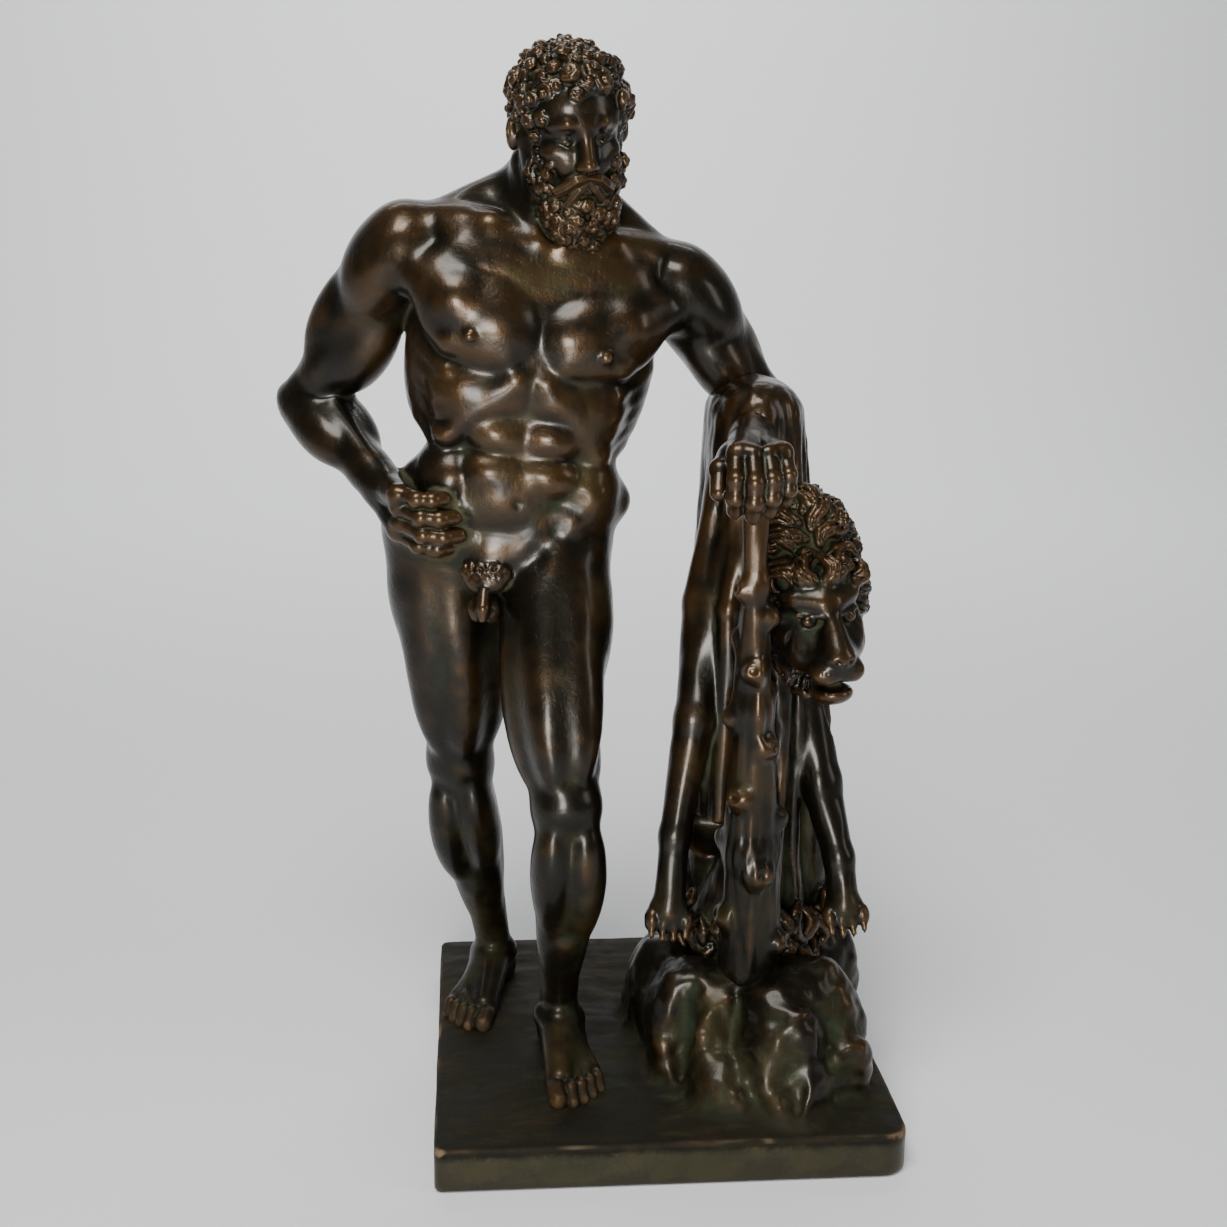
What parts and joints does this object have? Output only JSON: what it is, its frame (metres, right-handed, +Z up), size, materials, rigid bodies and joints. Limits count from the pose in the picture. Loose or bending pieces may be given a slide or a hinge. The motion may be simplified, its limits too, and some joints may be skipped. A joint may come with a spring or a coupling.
{
  "type": "hercules statue",
  "caption": "Bronze statue of a bearded hero standing at rest, one hand on a knotted club beside a hanging lion's skin, on a rock and a rectangular plinth.",
  "frame": {"origin": "centre of the plinth's underside", "axes": "+Z up, -Y towards the viewer of the statue's front, +X to that viewer's right"},
  "size_m": [0.3457, 0.26, 0.6002],
  "materials": {
    "bronze": "dark brown patinated cast bronze, waxed, rubbed reddish brown on the high places, green in the hollows"
  },
  "bodies": {
    "root": {"hercules_statue": "bronze"}
  },
  "joints": []
}
